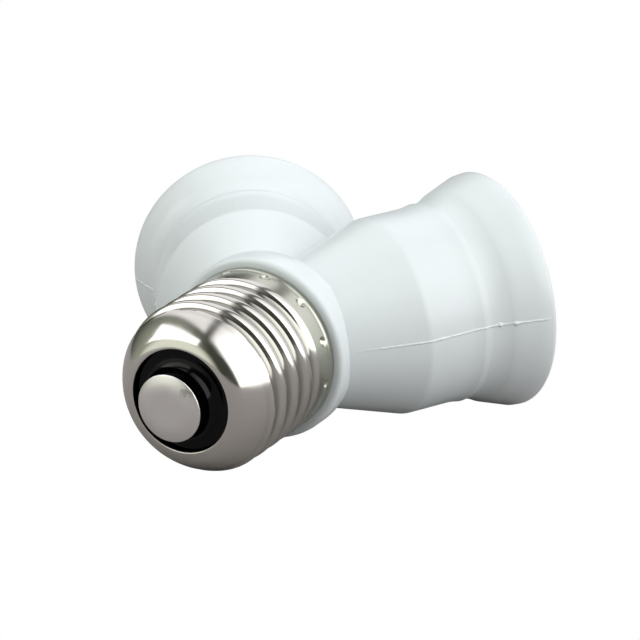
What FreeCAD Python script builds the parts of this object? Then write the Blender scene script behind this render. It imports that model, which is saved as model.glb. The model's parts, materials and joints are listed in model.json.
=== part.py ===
import FreeCAD, Part
import math
import os

# Two-way lamp socket adapter. A screw base goes into a lamp holder, and a forked white housing
# carries two sockets that each take a bulb with the same screw base.
#
# The adapter is drawn in its own frame first. Y runs along the stem from the face of the centre
# contact to the mouths, X runs across the fork and Z is square to the plane of the fork. Each branch
# is drawn round its own axis, which starts where the branches meet on the stem. Last, the whole
# adapter is tipped to the attitude in which it lies on a flat surface, resting on its two rims and
# its base shell, with its origin on that surface under the middle of it. Sizes are in millimetres.

os.makedirs("parts", exist_ok=True)

Vec = FreeCAD.Vector
Turn = FreeCAD.Rotation
Place = FreeCAD.Placement
CENTRE = Vec(0, 0, 0)
ALONG_X = Vec(1, 0, 0)
ALONG_Y = Vec(0, 1, 0)
ALONG_Z = Vec(0, 0, 1)
FAR = 200.0

# Fork
fork_half_angle = 32.7
fork_height = 28.2
branch_length = 41.4

# Outside of a branch: places along its axis, and the radii there
cone_foot_radius = 8.7
cone_top_at = 20.9
barrel_wall = 1.68
barrel_edge_round = 3.0
bead_foot_at = 28.2
bead_top_at = 30.4
bead_radius = 15.8
crease_at = 31.2
crease_radius = 15.6
flare_bend_at = 35.0
flare_bend_radius = 16.95
flare_sag = 0.22
rim_foot_at = 39.5
rim_foot_radius = 18.55
rim_radius = 18.75
rim_round = 0.85

# Collar where the housing meets the base shell
collar_start = 27.0
collar_radius = 14.5
collar_front_round = 0.8
collar_length = 5.1
collar_back_radius = 14.15
collar_slope_length = 3.6
collar_slope_radius = 10.4

# Rounded right-hand screw thread, rolled in thin sheet
thread_pitch = 3.629
thread_depth = 1.05
thread_land = 0.44
sheet = 0.35

# Base shell: places along the stem, and the radii there
base_crest_radius = 13.15
hole_radius = 8.0
nose_face_at = 3.95
nose_face_radius = 9.2
hole_edge_turn = 0.3
nose_end_at = 9.8
nose_arc_radius = 12.9
groove_at = 10.4
groove_start = 4.6
groove_end = 21.0
runout_turn = 0.45
band_start = 22.4
band_cone = 0.6
band_radius = 13.05
band_end = 25.75
shell_lip_radius = 13.44
shell_end = 26.8
crimp_count = 12
crimp_at = 25.0
crimp_angle = 14.0
crimp_ball_radius = 0.9
crimp_depth = 0.42

# Centre contact and insulator of the base
contact_radius = 5.22
contact_thickness = 0.8
contact_edge_round = 0.45
shank_radius = 1.6
shank_end = 14.2
neck_radius = 5.0
neck_foot_round = 1.9
insulator_face_at = 4.6
insulator_end = 12.6
insulator_gap = 0.12

# Stem of the housing, inside the base shell and behind it
boss_start = 8.5
boss_gap = 0.12
bore_radius = 7.5
land_gap = 0.1
wiring_radius = 8.8
wiring_top = 38.0
throat_radius = 5.0
throat_top = 46.5

# Inside of a branch
hollow_foot_at = 8.2
ledge_radius = 7.9
ledge_at = 10.6
carrier_radius = 9.2
carrier_flange = 1.5
carrier_body_radius = 8.0
carrier_height = 2.5
carrier_gap = 0.12
carrier_half_gap = 0.5
carrier_boss_radius = 5.5
carrier_boss_height = 0.9
cup_hole_gap = 0.4
cup_foot_radius = 7.9
cup_top_at = 22.5
cup_gap = 0.45
socket_crest_radius = 12.3
socket_groove_start = 24.2
socket_end = 34.75
socket_lip_radius = 14.5
shell_gap = 0.12
seat_gap = 0.06
funnel_foot_radius = 14.9
funnel_foot_at = 35.3
funnel_radius = 17.2
funnel_sag = 0.25

# Contact tongue: places along its length from the branch axis
tongue_width = 3.4
tongue_sheet = 0.35
tongue_root = -5.2
tongue_bend = -3.0
tongue_peak = 0.9
tongue_tip = 3.1
tongue_rise = 1.75
tongue_drop = 0.35
tongue_rivet_at = -4.15

# Rivets
rivet_radius = 0.6
rivet_head_radius = 0.95
rivet_head = 0.45
rivet_gap = 0.02
shell_rivet_at = 6.65

# Wires and solder
wire_radius = 0.65
live_solder_radius = 2.3
live_solder_height = 1.6
live_wire_offset = 0.95
window_radius = 1.9
solder_radius = 1.4
solder_height = 1.6
solder_gap = 0.15
wire_end_run = 1.5

# Locating pins of the housing halves
side_pin_radius = 0.9
side_pin_across = 9.6
side_pin_at = 24.0
fork_pin_radius = 0.5
fork_pin_inset = 1.2
pin_height = 1.8
pin_gap = 0.1


# Shared shapes

def outline(start, *steps):
    """Closed wire of radii and heights. A step of four numbers is an arc: a point on it, and its end."""
    edges = []
    here = Vec(start[0], 0, start[1])
    for step in steps + (start,):
        there = Vec(step[-2], 0, step[-1])
        if len(step) == 4:
            edges.append(Part.Arc(here, Vec(step[0], 0, step[1]), there).toShape())
        else:
            edges.append(Part.makeLine(here, there))
        here = there
    return Part.Wire(edges)


def turned(start, *steps):
    """Solid of revolution about Z."""
    solid = Part.Face(outline(start, *steps)).revolve(CENTRE, ALONG_Z, 360)
    if solid.Volume < 0:
        solid.reverse()
    return solid


def bowed(start, end, sag):
    """Arc step between two points that bulges to the left of the way by sag, or to the right if negative."""
    length = math.hypot(end[0] - start[0], end[1] - start[1])
    left = (-(end[1] - start[1]) / length, (end[0] - start[0]) / length)
    middle = ((start[0] + end[0]) / 2 + left[0] * sag, (start[1] + end[1]) / 2 + left[1] * sag)
    return middle + tuple(end)


def rounded(before, corner, after, radius):
    """First point of a rounded corner, and the arc step that ends it."""
    back = Vec(before[0] - corner[0], before[1] - corner[1], 0).normalize()
    ahead = Vec(after[0] - corner[0], after[1] - corner[1], 0).normalize()
    half = back.getAngle(ahead) / 2
    inward = (back + ahead).normalize()
    point = Vec(corner[0], corner[1], 0)
    first = point + back * (radius / math.tan(half))
    last = point + ahead * (radius / math.tan(half))
    middle = point + inward * (radius / math.sin(half) - radius)
    return (first.x, first.y), (middle.x, middle.y, last.x, last.y)


def rod(radius, start, end, x=0.0, y=0.0):
    """Cylinder along Z between two heights."""
    return Part.makeCylinder(radius, end - start, Vec(x, y, start), ALONG_Z)


# Thread

def thread_arc():
    """Radius of the equal crest and root arcs that run into each other without a corner."""
    return ((thread_pitch / 2) ** 2 + thread_depth ** 2) / (4 * thread_depth)


def wave(peak, outward, peak_arc, foot_arc):
    """Outline of one thread ridge or groove: its peak at height 0, its feet half a pitch away."""
    half = thread_pitch / 2
    centres = 2 * thread_arc()
    sign = 1.0 if outward else -1.0
    peak_centre = peak - sign * peak_arc
    foot_centre = peak_centre + sign * (centres - thread_depth)
    share = peak_arc / centres
    flank = peak_centre + (foot_centre - peak_centre) * share
    flank_height = half * share
    edge_turn = math.asin(thread_land / 2 / foot_arc)
    flank_turn = math.atan2(half - flank_height, abs(foot_centre - flank))
    middle_turn = (edge_turn + flank_turn) / 2
    foot = foot_centre - sign * foot_arc * math.cos(edge_turn)
    middle = foot_centre - sign * foot_arc * math.cos(middle_turn)
    middle_height = half - foot_arc * math.sin(middle_turn)
    edge = half - thread_land / 2
    behind = foot - sign * thread_depth / 2
    return outline(
        (behind, -edge),
        (foot, -edge),
        (middle, -middle_height, flank, -flank_height),
        (peak, 0.0, flank, flank_height),
        (middle, middle_height, foot, edge),
        (behind, edge),
    )


def screw(section, radius, start, end, height_at_x, growth=0.0):
    """A section carried along a right-hand screw line, which passes the X side at the given height."""
    path = Part.makeHelix(thread_pitch, end - start, radius, growth)
    solid = Part.Wire(path.Edges).makePipeShell([section], True, True)
    if solid.Volume < 0:
        solid.reverse()
    solid.rotate(CENTRE, ALONG_Z, 360 * (start - height_at_x) / thread_pitch)
    solid.translate(Vec(0, 0, start))
    return solid


# Frames

sin_fork = math.sin(math.radians(fork_half_angle))
cos_fork = math.cos(math.radians(fork_half_angle))
STEM = Place(CENTRE, Turn(ALONG_X, -90))
RIGHT = Place(
    Vec(0, fork_height, 0),
    Turn(Vec(cos_fork, -sin_fork, 0), Vec(0, 0, -1), Vec(sin_fork, cos_fork, 0), "ZXY"),
)
HALF_TURN = Place(CENTRE, Turn(ALONG_Y, 180))
LEFT = HALF_TURN.multiply(RIGHT)
SIDES = {"right": RIGHT, "left": LEFT}


def put(shape, place):
    """Copy of a shape moved from its own frame by a placement."""
    moved = shape.copy()
    moved.Placement = place.multiply(moved.Placement)
    return moved


def branch_point(x, y, z, place=RIGHT):
    """Point of a branch in the frame of the adapter."""
    return place.multVec(Vec(x, y, z))


# Base shell

groove_radius = base_crest_radius - thread_depth
inner_crest_radius = base_crest_radius - sheet
inner_groove_radius = groove_radius - sheet
band_inner_radius = band_radius - sheet
socket_bore_radius = socket_crest_radius + thread_depth + sheet + shell_gap
barrel_radius = socket_bore_radius + barrel_wall


def nose_centre():
    """Centre of the arc from the flat of the nose to the thread."""
    start = Vec(nose_face_radius, nose_face_at, 0)
    end = Vec(base_crest_radius, nose_end_at, 0)
    half = (end - start).Length / 2
    across = Vec(-(end - start).y, (end - start).x, 0).normalize()
    return (start + end) * 0.5 + across * math.sqrt(nose_arc_radius ** 2 - half ** 2)


def nose_radius_at(height, inset=0.0):
    """Radius of the nose at a height, on a surface that lies a distance inside it."""
    centre = nose_centre()
    return centre.x + math.sqrt((nose_arc_radius - inset) ** 2 - (height - centre.y) ** 2)


def nose_height_at(radius, inset=0.0):
    """Height at which a surface that lies a distance inside the nose reaches a radius."""
    centre = nose_centre()
    return centre.y - math.sqrt((nose_arc_radius - inset) ** 2 - (radius - centre.x) ** 2)


def nose_step(start_height, end_height, inset=0.0):
    """Arc step of the nose between two heights."""
    middle = (start_height + end_height) / 2
    return nose_radius_at(middle, inset), middle, nose_radius_at(end_height, inset), end_height


def crimp_balls(radius):
    """Balls at the crimp places of the band."""
    out = band_radius + crimp_ball_radius - crimp_depth
    balls = []
    for number in range(crimp_count):
        angle = math.radians(-crimp_angle - number * 360 / crimp_count)
        balls.append(Part.makeSphere(radius, Vec(out * math.cos(angle), out * math.sin(angle), crimp_at)))
    return Part.makeCompound(balls)


def base_shell():
    inside = nose_face_at + sheet
    inner_foot = nose_height_at(inner_groove_radius, sheet)
    band_foot = band_start + thread_pitch / 8
    body = turned(
        (hole_radius, inside),
        (hole_radius, nose_face_at + hole_edge_turn),
        (hole_radius + hole_edge_turn * 0.3, nose_face_at + hole_edge_turn * 0.3,
         hole_radius + hole_edge_turn, nose_face_at),
        (nose_face_radius, nose_face_at),
        nose_step(nose_face_at, nose_end_at),
        (base_crest_radius, band_start - band_cone),
        (band_radius, band_start),
        (band_radius, band_end),
        bowed((band_radius, band_end), (shell_lip_radius, shell_end - sheet), 0.06),
        (shell_lip_radius, shell_end),
        (shell_lip_radius - sheet, shell_end),
        (shell_lip_radius - sheet, shell_end - sheet),
        (band_inner_radius, band_end + sheet / 3),
        (band_inner_radius, band_foot + thread_depth),
        (inner_groove_radius, band_foot),
        (inner_groove_radius, inner_foot),
        nose_step(inner_foot, inside, sheet),
    )
    arc = thread_arc()
    groove = wave(groove_radius, False, arc, arc)
    body = body.cut(screw(groove, groove_radius, groove_start, groove_end, groove_at))
    rise = math.degrees(math.atan2(thread_depth, runout_turn * thread_pitch))
    end_place = groove_end + runout_turn * thread_pitch
    body = body.cut(screw(groove, groove_radius, groove_end, end_place, groove_at, rise))
    ridge = wave(inner_crest_radius, True, arc - sheet, arc + sheet)
    ridge_at = groove_at - thread_pitch / 2
    ridge_start = nose_end_at + thread_pitch / 4
    body = body.cut(screw(ridge, inner_crest_radius, ridge_start, groove_end, ridge_at))
    bumps = crimp_balls(crimp_ball_radius + sheet).common(rod(band_radius - sheet / 2, band_start, band_end))
    return body.fuse(bumps).cut(crimp_balls(crimp_ball_radius))


# Base contact and insulator

def base_contact():
    first, edge = rounded((0, 0), (contact_radius, 0), (contact_radius, contact_thickness), contact_edge_round)
    return turned(
        (0, 0),
        first,
        edge,
        (contact_radius, contact_thickness),
        (shank_radius, contact_thickness),
        (shank_radius, shank_end),
        (0, shank_end),
    )


def base_insulator():
    clear = sheet + insulator_gap
    flange = inner_groove_radius - insulator_gap
    rim = boss_start - boss_gap
    plug = bore_radius - insulator_gap
    return turned(
        (shank_radius + rivet_gap, contact_thickness),
        (neck_radius, contact_thickness),
        (neck_radius, insulator_face_at - neck_foot_round),
        (neck_radius + neck_foot_round * 0.3, insulator_face_at - neck_foot_round * 0.3,
         neck_radius + neck_foot_round, insulator_face_at),
        (nose_radius_at(insulator_face_at, clear), insulator_face_at),
        nose_step(insulator_face_at, nose_height_at(flange, clear), clear),
        (flange, rim),
        (plug, rim),
        (plug, insulator_end),
        (shank_radius + rivet_gap, insulator_end),
    )


# Housing

def branch_outside():
    corner, edge = rounded(
        (cone_foot_radius, 0), (barrel_radius, cone_top_at), (barrel_radius, bead_foot_at), barrel_edge_round)
    crease = (crease_radius, crease_at)
    bend = (flare_bend_radius, flare_bend_at)
    rim, lip = rounded(
        (rim_foot_radius, rim_foot_at), (rim_radius, branch_length), (0, branch_length), rim_round)
    return turned(
        (0, 0),
        (cone_foot_radius, 0),
        corner,
        edge,
        (barrel_radius, bead_foot_at),
        bowed((barrel_radius, bead_foot_at), (bead_radius, bead_top_at), 0.05),
        crease,
        bowed(crease, bend, flare_sag),
        (rim_foot_radius, rim_foot_at),
        rim,
        lip,
        (0, branch_length),
    )


def stem_outside():
    face = (0, collar_start)
    corner, front = rounded(
        face, (collar_radius, collar_start), (collar_radius, collar_start + collar_length), collar_front_round)
    land_foot = band_start + thread_pitch / 8 + thread_depth
    land = band_inner_radius - land_gap
    boss = inner_groove_radius - boss_gap
    back = collar_start + collar_length
    return turned(
        (0, boss_start),
        (boss - 2 * boss_gap, boss_start),
        (boss, boss_start + 2 * boss_gap),
        (boss, land_foot - thread_depth),
        (land, land_foot),
        (land, collar_start),
        corner,
        front,
        (collar_radius, back - collar_slope_length / 2),
        (collar_back_radius, back),
        (collar_slope_radius, back + collar_slope_length),
        (0, back + collar_slope_length),
    ).cut(put(crimp_balls(crimp_ball_radius + sheet + land_gap), Place()))


def branch_hollow():
    flange_top = ledge_at + 2 * carrier_gap + carrier_flange
    cup_foot = ledge_at + carrier_gap + carrier_height
    seat = socket_end - sheet - seat_gap
    funnel_foot = (funnel_foot_radius, funnel_foot_at)
    funnel_top = (funnel_radius, branch_length - rim_round / 2)
    out = (funnel_radius + rim_round / 2, branch_length)
    return turned(
        (0, hollow_foot_at),
        (ledge_radius, hollow_foot_at),
        (ledge_radius, ledge_at),
        (carrier_radius + carrier_gap, ledge_at),
        (carrier_radius + carrier_gap, flange_top),
        (cup_foot_radius + cup_gap, flange_top),
        (cup_foot_radius + cup_gap, cup_foot),
        (socket_crest_radius + sheet + cup_gap, cup_top_at),
        (socket_bore_radius, cup_top_at),
        (socket_bore_radius, seat),
        (socket_lip_radius + shell_gap, seat),
        (socket_lip_radius + shell_gap, funnel_foot_at),
        funnel_foot,
        bowed(funnel_foot, funnel_top, -funnel_sag),
        bowed(funnel_top, out, -rim_round / 8),
        (out[0], FAR),
        (0, FAR),
    )


def housing():
    outside = put(stem_outside(), STEM)
    for place in SIDES.values():
        outside = outside.fuse(put(branch_outside(), place))
    hollows = [put(branch_hollow(), place) for place in SIDES.values()]
    hollows.append(put(rod(bore_radius, 0, collar_start), STEM))
    hollows.append(put(rod(wiring_radius, collar_start - sheet, wiring_top), STEM))
    hollows.append(put(rod(throat_radius, wiring_top - sheet, throat_top), STEM))
    hollows.append(window(window_heights()[0], 1))
    hollows.append(window(window_heights()[1], -1))
    return outside.cut(hollows).removeSplitter()


def window_heights():
    """Heights of the two wire windows, where a thread groove comes nearest to the stem."""
    upper = groove_at + thread_pitch * 1.75
    lower = groove_at + thread_pitch * 2.25
    return upper, lower


def window(height, side):
    """Hole through the stem wall, up or down."""
    return Part.makeCylinder(window_radius, base_crest_radius, Vec(0, height, 0), ALONG_Z * side)


def half_space(side):
    size = FAR * 2
    low = 0 if side > 0 else -size
    return Part.makeBox(size, size, size, Vec(-FAR, -FAR, low))


def locating_pins(growth, height):
    fork_pin_at = fork_height + barrel_radius / sin_fork - fork_pin_inset
    pins = []
    for side in (1, -1):
        place = Vec(side * side_pin_across, side_pin_at, 0)
        pins.append(Part.makeCylinder(side_pin_radius + growth, height, place, ALONG_Z))
    pins.append(Part.makeCylinder(fork_pin_radius + growth, height, Vec(0, fork_pin_at, 0), ALONG_Z))
    return pins


def housing_halves():
    whole = housing()
    upper = whole.common(half_space(1)).cut(locating_pins(pin_gap, pin_height + pin_gap))
    sunk = [pin.fuse(put(pin, Place(Vec(0, 0, -pin_height), Turn()))) for pin in locating_pins(0, pin_height)]
    lower = whole.common(half_space(-1)).fuse(sunk).removeSplitter()
    return upper, lower


# Sockets

carrier_foot = ledge_at + carrier_gap
carrier_top = carrier_foot + carrier_height
boss_top = carrier_top + carrier_boss_height


def screw_shell():
    outer_crest = socket_crest_radius + thread_depth + sheet
    outer_foot = socket_crest_radius + sheet
    hole = carrier_boss_radius + cup_hole_gap
    slope = (outer_foot - cup_foot_radius) / (cup_top_at - carrier_top)
    inner_foot = (cup_foot_radius + slope * sheet - sheet * math.hypot(1, slope), carrier_top + sheet)
    flange = socket_end - sheet
    body = turned(
        (hole, carrier_top),
        (cup_foot_radius, carrier_top),
        (outer_foot, cup_top_at),
        (outer_crest, cup_top_at + thread_depth),
        (outer_crest, flange),
        (socket_lip_radius, flange),
        (socket_lip_radius, socket_end),
        (socket_crest_radius, socket_end),
        (socket_crest_radius, socket_groove_start),
        (socket_crest_radius, cup_top_at + sheet),
        inner_foot,
        (hole, carrier_top + sheet),
    )
    arc = thread_arc()
    groove = wave(outer_foot, False, arc - sheet, arc + sheet)
    groove_stop = flange - thread_pitch / 2
    body = body.cut(screw(groove, outer_foot, socket_groove_start, groove_stop, socket_groove_start))
    ridge = wave(outer_crest - sheet, True, arc, arc)
    ridge_at = socket_groove_start + thread_pitch / 2
    ridge_stop = socket_end + thread_pitch
    body = body.cut(screw(ridge, outer_crest - sheet, socket_groove_start, ridge_stop, ridge_at))
    return body.cut([rod(rivet_radius + rivet_gap, 0, FAR, 0, side * shell_rivet_at) for side in (1, -1)])


def contact_carrier():
    flange_top = carrier_foot + carrier_flange
    body = turned(
        (0, carrier_foot),
        (carrier_radius, carrier_foot),
        (carrier_radius, flange_top),
        (carrier_body_radius - carrier_gap, flange_top),
        (carrier_body_radius - carrier_gap, carrier_top),
        (carrier_boss_radius, carrier_top),
        (carrier_boss_radius, boss_top),
        (0, boss_top),
    )
    holes = [rod(rivet_radius + rivet_gap, 0, FAR, 0, side * shell_rivet_at) for side in (1, -1)]
    holes.append(rod(rivet_radius + rivet_gap, 0, FAR, tongue_rivet_at, 0))
    body = body.cut(holes)
    other_half = Part.makeBox(FAR, 2 * FAR, 2 * FAR, Vec(carrier_half_gap - FAR, -FAR, -FAR))
    return body.cut(put(other_half, RIGHT.inverse()))


def contact_tongue():
    """Bent strip: riveted root, a bend, a slope up to the contact peak and a turned-down tip."""
    half = tongue_width / 2
    low = boss_top
    root = Vec(tongue_root, -half, low)
    bend = Vec(tongue_bend, -half, low)
    peak = Vec(tongue_peak, -half, low + tongue_rise)
    tip = Vec(tongue_tip, -half, low + tongue_rise - tongue_drop)
    rise = Vec(tongue_peak - tongue_bend, 0, tongue_rise).normalize()
    peak_start = peak - rise * tongue_drop
    crown = peak + Vec(tongue_drop / 2, 0, tongue_drop / 8)
    under = [
        Part.makeLine(root, bend),
        Part.makeLine(bend, peak_start),
        Part.Arc(peak_start, crown, tip).toShape(),
    ]
    strip = None
    for edge in under:
        start = edge.Vertexes[0].Point
        end = edge.Vertexes[-1].Point
        up = Vec(0, 0, tongue_sheet)
        over = edge.copy()
        over.translate(up)
        sides = [edge, Part.makeLine(end, end + up), over, Part.makeLine(start + up, start)]
        piece = Part.Face(Part.Wire(Part.sortEdges(sides)[0])).extrude(Vec(0, tongue_width, 0))
        strip = piece if strip is None else strip.fuse(piece)
    hole = rod(rivet_radius + rivet_gap, 0, FAR, tongue_rivet_at, 0)
    return strip.removeSplitter().cut(hole)


def rivet(x, y, seat):
    """Rivet through the carrier, from its head on the seat to the head below the carrier."""
    shank = rod(rivet_radius, carrier_foot - rivet_head / 2, seat + rivet_head / 2, x, y)
    tail = rod(rivet_head_radius, carrier_foot - rivet_head, carrier_foot, x, y)
    head = Part.makeCone(rivet_head_radius, rivet_head_radius * 0.7, rivet_head, Vec(x, y, seat), ALONG_Z)
    return shank.fuse([tail, head]).removeSplitter()


def tongue_rivet():
    return rivet(tongue_rivet_at, 0, boss_top + tongue_sheet)


def shell_rivets():
    return Part.makeCompound([rivet(0, side * shell_rivet_at, carrier_top + sheet) for side in (1, -1)])


# Wires and solder

def tube(points, radius):
    """Round wire along straight runs joined by arcs as large as the runs allow."""
    edges = []
    here = points[0]
    for number in range(1, len(points) - 1):
        corner = points[number]
        back = points[number - 1] - corner
        ahead = points[number + 1] - corner
        reach = 0.45 * min(back.Length, ahead.Length)
        back.normalize()
        ahead.normalize()
        half = back.getAngle(ahead) / 2
        bend = reach * math.tan(half)
        inward = (back + ahead).normalize()
        middle = corner + inward * (bend / math.sin(half) - bend)
        edges.append(Part.makeLine(here, corner + back * reach))
        edges.append(Part.Arc(corner + back * reach, middle, corner + ahead * reach).toShape())
        here = corner + ahead * reach
    edges.append(Part.makeLine(here, points[-1]))
    start = Part.Wire(Part.Circle(points[0], points[1] - points[0], radius).toShape())
    return Part.Wire(edges).makePipeShell([start], True, False)


def live_wire():
    """From the solder on the contact shank to the rivet of the right tongue."""
    start_at = shank_end + live_solder_height
    tail = branch_point(tongue_rivet_at, 0, carrier_foot - rivet_head)
    before = branch_point(tongue_rivet_at, 0, carrier_foot - rivet_head - wire_end_run)
    offset = live_wire_offset
    turn_at = collar_start + collar_front_round
    return tube([Vec(offset, start_at, offset), Vec(offset, turn_at, offset), before, tail], wire_radius)


def neutral_wire(height):
    """From the solder on the base shell, through a window, to a rivet of the right screw shell."""
    solder_foot = inner_groove_radius - solder_gap - solder_height
    tail = branch_point(0, -shell_rivet_at, carrier_foot - rivet_head)
    along = bore_radius - 2 * wire_radius
    before = branch_point(0, -shell_rivet_at, carrier_foot - rivet_head - wire_end_run)
    turn_up = Vec(0, height, along)
    lean = Vec(3 * wire_radius, collar_start, along - wire_radius)
    return tube([Vec(0, height, solder_foot), turn_up, lean, before, tail], wire_radius)


def live_solder():
    return rod(live_solder_radius, shank_end, shank_end + live_solder_height)


def neutral_solder():
    blobs = []
    for height, side in zip(window_heights(), (1, -1)):
        foot = inner_groove_radius - solder_gap - solder_height
        blobs.append(Part.makeCylinder(solder_radius, solder_height, Vec(0, height, side * foot), ALONG_Z * side))
    return Part.makeCompound(blobs)


# Attitude at rest

def rest_tilt():
    """Angle of the stem to the surface, from the heights of the rims and the first crest of the base."""
    lip_at = branch_length - rim_round
    lip_along = fork_height + lip_at * cos_fork
    lip_circle = rim_radius - rim_round
    crest_along = groove_at - thread_pitch / 4
    crest = nose_radius_at(crest_along)
    low, high = 0.0, math.radians(20)
    for _ in range(40):
        angle = (low + high) / 2
        sine = math.sin(angle)
        rim = lip_along * sine - lip_circle * math.sqrt(1 - (cos_fork * sine) ** 2) - rim_round
        base = crest_along * sine - crest * math.cos(angle)
        if rim < base:
            low = angle
        else:
            high = angle
    return math.degrees(low)


def all_pieces():
    """Every piece in the frame of the adapter, by node name."""
    upper, lower = housing_halves()
    pieces = {
        "upper_housing": upper,
        "lower_housing": lower,
        "base_shell": put(base_shell(), STEM),
        "base_insulator": put(base_insulator(), STEM),
        "base_contact": put(base_contact(), STEM),
        "live_solder": put(live_solder(), STEM),
        "neutral_solder": neutral_solder(),
    }
    socket_pieces = {
        "screw_shell": screw_shell(),
        "contact_carrier": contact_carrier(),
        "contact_tongue": contact_tongue(),
        "tongue_rivet": tongue_rivet(),
        "shell_rivets": shell_rivets(),
    }
    for side, place in SIDES.items():
        for name, piece in socket_pieces.items():
            pieces[side + "_" + name] = put(piece, place)
    heights = window_heights()
    pieces["right_live_wire"] = live_wire()
    pieces["left_live_wire"] = put(live_wire(), HALF_TURN)
    pieces["right_neutral_wire"] = neutral_wire(heights[0])
    pieces["left_neutral_wire"] = put(neutral_wire(heights[1]), HALF_TURN)
    return pieces


def rest_place(pieces):
    """Placement from the frame of the adapter to the surface it lies on."""
    tipped = Place(CENTRE, Turn(ALONG_X, rest_tilt()))
    box = FreeCAD.BoundBox()
    for name in ("upper_housing", "lower_housing", "base_shell", "base_contact"):
        box.add(put(pieces[name], tipped).optimalBoundingBox(False, False))
    shift = Vec(-(box.XMin + box.XMax) / 2, -(box.YMin + box.YMax) / 2, -box.ZMin)
    return Place(shift, Turn()).multiply(tipped)


def main():
    pieces = all_pieces()
    rest = rest_place(pieces)
    for name, piece in pieces.items():
        put(piece, rest).exportStep(os.path.join("parts", name + ".step"))


main()
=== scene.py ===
import json
import math

import bmesh
import bpy
import numpy as np
from mathutils import Matrix, Vector, noise


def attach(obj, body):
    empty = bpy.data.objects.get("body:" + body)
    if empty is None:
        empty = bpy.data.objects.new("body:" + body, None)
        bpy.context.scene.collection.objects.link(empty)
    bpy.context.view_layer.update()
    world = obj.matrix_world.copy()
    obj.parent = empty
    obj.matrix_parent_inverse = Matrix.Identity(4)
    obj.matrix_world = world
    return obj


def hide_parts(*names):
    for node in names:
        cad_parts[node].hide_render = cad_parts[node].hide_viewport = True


# Looks of the lamp socket adapter. Shapes are drawn in millimetres in the adapter's own frame, where
# Y runs along the stem from the base contact to the mouths, X runs across the fork and Z is square
# to the fork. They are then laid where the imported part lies. Sizes are those of the part's source.

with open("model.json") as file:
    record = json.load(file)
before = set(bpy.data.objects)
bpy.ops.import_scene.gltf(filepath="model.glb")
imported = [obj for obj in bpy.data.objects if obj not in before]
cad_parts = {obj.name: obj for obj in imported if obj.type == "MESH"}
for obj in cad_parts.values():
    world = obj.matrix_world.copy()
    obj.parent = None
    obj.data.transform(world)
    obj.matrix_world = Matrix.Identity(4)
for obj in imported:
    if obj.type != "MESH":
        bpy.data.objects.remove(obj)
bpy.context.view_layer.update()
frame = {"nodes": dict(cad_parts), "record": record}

FAR = 100.0

# Fork
FORK_HALF_ANGLE = math.radians(32.7)
FORK_HEIGHT = 28.2
BRANCH_LENGTH = 41.4

# Rounded right-hand screw thread, rolled in thin sheet
PITCH = 3.629
DEPTH = 1.05
SHEET = 0.35
THREAD_ARC = ((PITCH / 2) ** 2 + DEPTH ** 2) / (4 * DEPTH)

# Base shell: places along the stem, and the radii there
CREST = 13.15
INNER_GROOVE = CREST - DEPTH - SHEET
HOLE_RADIUS = 8.0
HOLE_EDGE = 0.2
NOSE_TURN = 3.8
NOSE_START = Vector((10.2, 4.885))
NOSE_END = Vector((CREST, 9.8))
NOSE_ARC = 12.9
GROOVE_AT = 10.4
GROOVE_START = 4.6
GROOVE_END = 21.0
RUNOUT = 0.45 * PITCH
BAND_CONE = 0.6
BAND_START = 22.4
BAND_FOOT_AT = 22.9
BAND_LAND_AT = 23.9
BAND_END = 25.75
BAND_RADIUS = 13.05
LIP_RADIUS = 13.44
LIP_SAG = 0.06
SHELL_END = 26.8
CRIMPS = 12
CRIMP_AT = 25.0
CRIMP_ANGLE = math.radians(14.0)
CRIMP_BALL = 0.9
CRIMP_DEPTH = 0.42

# Centre contact and insulator of the base
CONTACT_RADIUS = 5.22
CONTACT_THICKNESS = 0.85
CONTACT_EDGE = 0.1
CROWN_FLAT = 2.4
CROWN_ARC = 6.0
SHANK_RADIUS = 1.6
SHANK_END = 14.2
SHANK_GAP = 0.02
NECK_RADIUS = 5.0
NECK_FOOT_ROUND = 1.9
INSULATOR_FACE_AT = 4.6
INSULATOR_FACE_RADIUS = 9.066
INSULATOR_RIM_AT = 8.38
INSULATOR_PLUG_RADIUS = 7.38
INSULATOR_END = 12.6
INSULATOR_GAP = 0.12

# Stem of the housing: the collar, the part that the base shell hides, and the space for the wires
STUB_START = 26.0
STUB_RADIUS = 12.4
COLLAR_START = 27.0
COLLAR_RADIUS = 14.5
COLLAR_FRONT_ROUND = 0.8
COLLAR_BACK_AT = 32.1
COLLAR_BACK_RADIUS = 14.15
COLLAR_SLOPE = 3.6
COLLAR_SLOPE_RADIUS = 10.4
WIRING_START = 25.0
WIRING_TOP = 38.0
WIRING_RADIUS = 8.8
THROAT_TOP = 46.5
THROAT_RADIUS = 5.0

# Inside of a branch and socket shell: places along the branch, and the radii there
HOLLOW_FOOT_AT = 8.2
LEDGE_AT = 10.6
LEDGE_RADIUS = 7.9
CARRIER_RADIUS = 9.2
CARRIER_FLANGE = 1.5
CARRIER_HEIGHT = 2.5
CARRIER_GAP = 0.12
CUP_FOOT_AT = LEDGE_AT + CARRIER_GAP + CARRIER_HEIGHT
CUP_FOOT_RADIUS = 7.9
CUP_INNER_FOOT_RADIUS = 7.69
CUP_HOLE_RADIUS = 5.9
CUP_TOP_AT = 22.5
CUP_GAP = 0.45
SOCKET_CREST = 12.3
SOCKET_OUTER_CREST = SOCKET_CREST + DEPTH + SHEET
SOCKET_GROOVE_START = 24.2
SOCKET_GROOVE_LEAD = 0.6
SOCKET_GROOVE_GROWTH = 1.2
SOCKET_END = 34.75
SOCKET_LIP_RADIUS = 14.5
SHELL_GAP = 0.12
SEAT_GAP = 0.06
SOCKET_BORE = SOCKET_OUTER_CREST + SHELL_GAP
FUNNEL_FOOT_AT = 35.3
FUNNEL_FOOT_RADIUS = 14.9
FUNNEL_RADIUS = 17.2
FUNNEL_SAG = 0.25
FUNNEL_LIP_SAG = 0.1
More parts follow.
